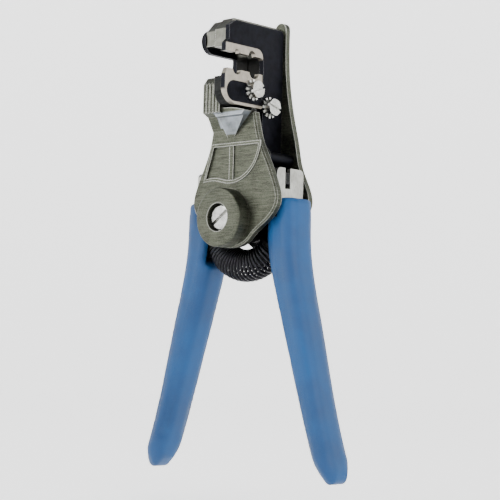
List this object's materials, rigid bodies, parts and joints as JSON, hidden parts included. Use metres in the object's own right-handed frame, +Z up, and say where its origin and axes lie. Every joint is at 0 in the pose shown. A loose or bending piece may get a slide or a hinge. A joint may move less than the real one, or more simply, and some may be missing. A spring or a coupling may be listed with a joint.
{
  "type": "wire stripper",
  "caption": "Hand tool that grips a wire, cuts its insulation between notched blades and pulls it off as the sprung handles are squeezed.",
  "frame": {"origin": "centre of the main pivot, half way between the two castings' outer faces", "axes": "+Z up towards the jaws, -Y towards the open front of the jaws, +Y along the pivot to the back, +X to the cutting jaw's side"},
  "size_m": [0.1026, 0.0403, 0.1816],
  "materials": {
    "die_cast": "satin die-cast metal, tumbled, with brighter worn edges",
    "plate_steel": "plain pressed steel",
    "jaw_steel": "satin milled steel",
    "blade_steel": "black oxide with bright ground cutting bands",
    "black_steel": "black oxide",
    "bright_screw": "bright zinc or nickel plate",
    "lever_steel": "bright bare pressed steel",
    "grip_vinyl": "satin blue vinyl",
    "spring_steel": "black oiled spring wire"
  },
  "bodies": {
    "left_frame": {"front_casting": "die_cast", "left_back_plate": "plate_steel", "left_spacer_pin": "black_steel", "pivot_bolt": "bright_screw", "pivot_sleeve": "plate_steel", "pivot_washer": "plate_steel", "pivot_nut": "bright_screw", "gripper_guide_pins": "plate_steel", "return_spring": "spring_steel"},
    "right_frame": {"back_casting": "die_cast", "right_front_plate": "plate_steel", "right_spacer_pin": "black_steel", "lower_blade": "blade_steel", "lower_blade_screw": "bright_screw", "lower_blade_washer": "bright_screw", "cutter_guide_pins": "plate_steel"},
    "gripper": {"gripper_hook": "jaw_steel", "gripper_plate": "blade_steel", "gripper_plate_screw": "bright_screw", "gripper_plate_washer": "bright_screw", "gripper_pull_plate": "plate_steel", "gripper_pull_pin": "plate_steel"},
    "cutter": {"cutter_hook": "jaw_steel", "upper_blade": "blade_steel", "upper_blade_screw": "bright_screw", "upper_blade_washer": "bright_screw", "cutter_pull_plate": "plate_steel", "cutter_pull_pin": "plate_steel"},
    "left_handle": {"left_lever": "lever_steel", "left_grip": "grip_vinyl"},
    "right_handle": {"right_lever": "lever_steel", "right_grip": "grip_vinyl"}
  },
  "joints": [
    {"name": "frame_spread", "type": "hinge", "parent": "left_frame", "child": "right_frame", "pos_m": [0, 0, 0], "axis": [0, 1, 0], "range_deg": [0, 12.5], "stiffness_Nm_per_rad": 1.5, "springref_deg": -22.92, "deforming": ["return_spring"]},
    {"name": "right_squeeze", "type": "hinge", "parent": "right_frame", "child": "right_handle", "pos_m": [0, 0, 0], "axis": [0, 1, 0], "range_deg": [0, 16], "stiffness_Nm_per_rad": 1, "springref_deg": -28.65, "deforming": ["return_spring"]},
    {"name": "left_squeeze", "type": "hinge", "parent": "left_frame", "child": "left_handle", "pos_m": [0, 0, 0], "axis": [0, -1, 0], "range_deg": [0, 16], "stiffness_Nm_per_rad": 1, "springref_deg": -28.65, "deforming": ["return_spring"]},
    {"name": "cutter_close", "type": "slide", "parent": "right_frame", "child": "cutter", "axis": [0, 0, -1], "range_m": [0, 0.0058]},
    {"name": "gripper_close", "type": "slide", "parent": "left_frame", "child": "gripper", "axis": [0, 0, -1], "range_m": [0, 0.0058]}
  ],
  "couplings": [
    {"joint": "left_squeeze", "follows": "right_squeeze", "ratio": 1},
    {"joint": "cutter_close", "follows": "right_squeeze", "m_per_rad": 0.0207},
    {"joint": "gripper_close", "follows": "right_squeeze", "m_per_rad": 0.0207}
  ]
}
